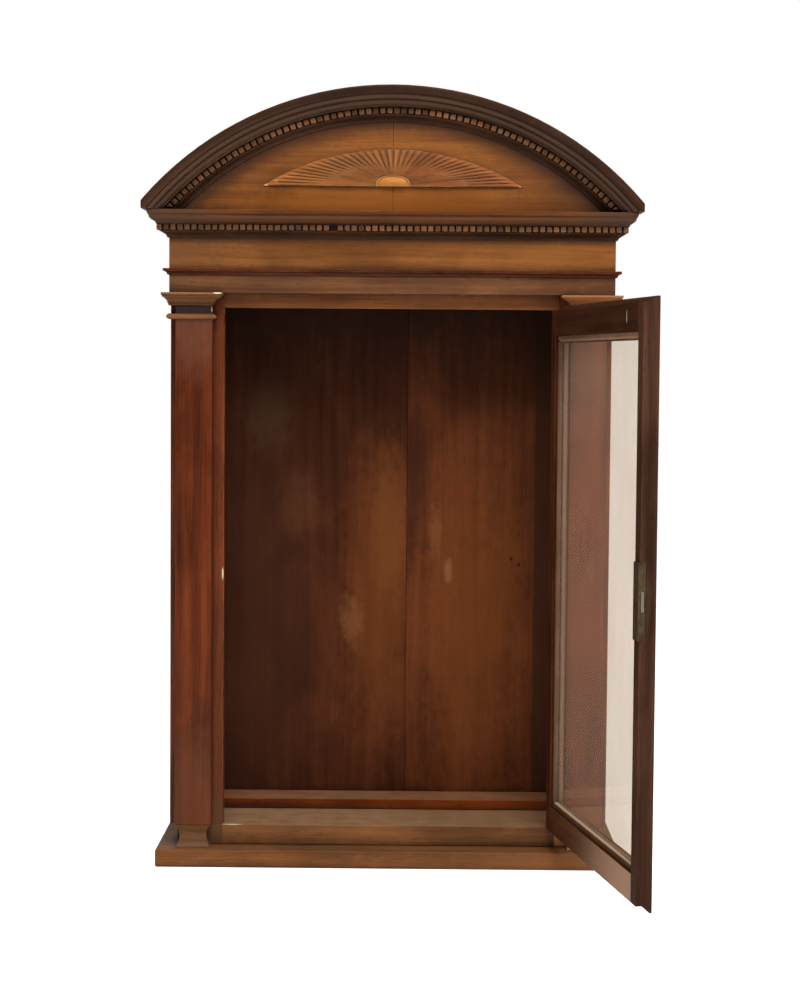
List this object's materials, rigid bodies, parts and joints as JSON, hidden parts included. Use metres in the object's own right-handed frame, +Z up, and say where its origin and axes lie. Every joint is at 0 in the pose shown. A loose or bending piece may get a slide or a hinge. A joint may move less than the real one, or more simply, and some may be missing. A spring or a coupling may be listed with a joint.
{
  "type": "display cabinet",
  "caption": "Shallow classical display cabinet with an arched dentil pediment, carved fan, pilasters, a plinth and a hinged glazed door with a cupboard lock.",
  "frame": {"origin": "middle of the plinth's underside", "axes": "+Z up, the door side faces -Y, +X to the right seen from the front"},
  "size_m": [0.554, 0.547, 0.8727],
  "materials": {
    "golden_wood": "worn french polish, golden brown",
    "dark_wood": "worn french polish, dark grey brown",
    "red_wood": "worn french polish, reddish brown",
    "inside_wood": "dull stained wood",
    "dentil_wood": "worn light brown blocks on a dark ground",
    "brass": "tarnished",
    "bolt_steel": "rubbed bright",
    "glass": "clear with a thin film of dust"
  },
  "bodies": {
    "cabinet": {"plinth_board": "golden_wood", "bottom_board": "golden_wood", "rear_ledge": "inside_wood", "side_panel_left": "red_wood", "side_panel_right": "red_wood", "side_lining_left": "inside_wood", "side_lining_right": "inside_wood", "ceiling_board": "inside_wood", "back_board_left": "inside_wood", "back_board_right": "inside_wood", "stile_left": "red_wood", "stile_right": "red_wood", "head_rail": "red_wood", "pilaster_shaft_left": "red_wood", "pilaster_shaft_right": "red_wood", "pilaster_base_left": "golden_wood", "pilaster_base_right": "golden_wood", "astragal_left": "red_wood", "astragal_right": "red_wood", "capital_left": "golden_wood", "capital_right": "golden_wood", "architrave_board": "golden_wood", "frieze_board": "golden_wood", "string_moulding_front": "dark_wood", "string_moulding_left": "dark_wood", "string_moulding_right": "dark_wood", "bed_moulding_front": "red_wood", "bed_moulding_left": "red_wood", "bed_moulding_right": "red_wood", "dentil_strip_front": "dentil_wood", "dentil_strip_left": "dentil_wood", "dentil_strip_right": "dentil_wood", "cornice_front": "dark_wood", "cornice_left": "dark_wood", "cornice_right": "dark_wood", "arch_cornice": "dark_wood", "arch_dentil_band": "dentil_wood", "arch_bed_moulding": "dark_wood", "tympanum_left": "golden_wood", "tympanum_right": "golden_wood", "dust_board": "inside_wood", "pediment_batten": "inside_wood", "fan_carving": "golden_wood", "fan_boss": "golden_wood", "hinge_frame_leaf_upper": "brass", "hinge_frame_leaf_lower": "brass"},
    "door": {"door_stile_hinge": "dark_wood", "door_stile_lock": "dark_wood", "door_rail_top": "dark_wood", "door_rail_bottom": "dark_wood", "door_glass": "glass", "glazing_bead_top": "dark_wood", "glazing_bead_bottom": "dark_wood", "glazing_bead_hinge": "dark_wood", "glazing_bead_lock": "dark_wood", "hinge_door_leaf_upper": "brass", "hinge_door_leaf_lower": "brass", "lock_case": "brass", "escutcheon": "brass"},
    "lock_bolt": {"lock_bolt": "bolt_steel"}
  },
  "joints": [
    {"name": "door_hinge", "type": "hinge", "parent": "cabinet", "child": "door", "pos_m": [0.192, -0.072, 0.336], "axis": [0, 0, 1], "range_deg": [-100, 2]},
    {"name": "lock_bolt_slide", "type": "slide", "parent": "door", "child": "lock_bolt", "axis": [0.1736, -0.9848, 0], "range_m": [0, 0.007]}
  ]
}
